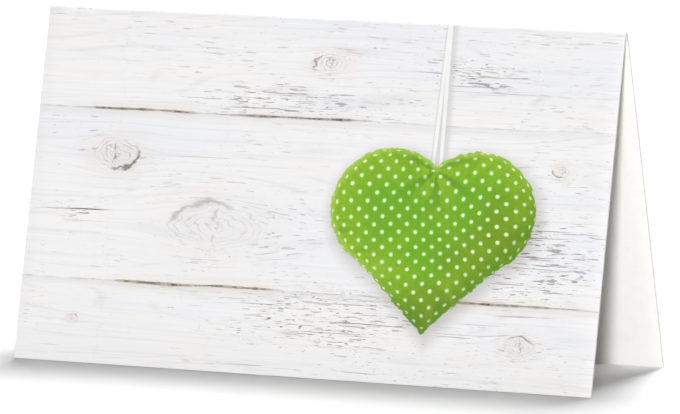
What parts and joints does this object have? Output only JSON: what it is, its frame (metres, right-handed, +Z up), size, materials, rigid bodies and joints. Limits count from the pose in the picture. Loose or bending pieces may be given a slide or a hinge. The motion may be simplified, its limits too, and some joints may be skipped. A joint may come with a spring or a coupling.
{
  "type": "place card",
  "caption": "Tent-fold place card: a printed sheet of board, scored and folded across its middle, that stands open on its two long cut edges beside a place setting.",
  "frame": {"origin": "on the table, under the middle of the fold", "axes": "+X along the fold to the reader's right, +Y from the front panel to the back one, +Z up"},
  "size_m": [0.0888, 0.0272, 0.0491],
  "materials": {
    "card": "coated and printed in front, coated and plain behind, uncoated inside"
  },
  "bodies": {
    "root": {"folded_card": "card"}
  },
  "joints": []
}
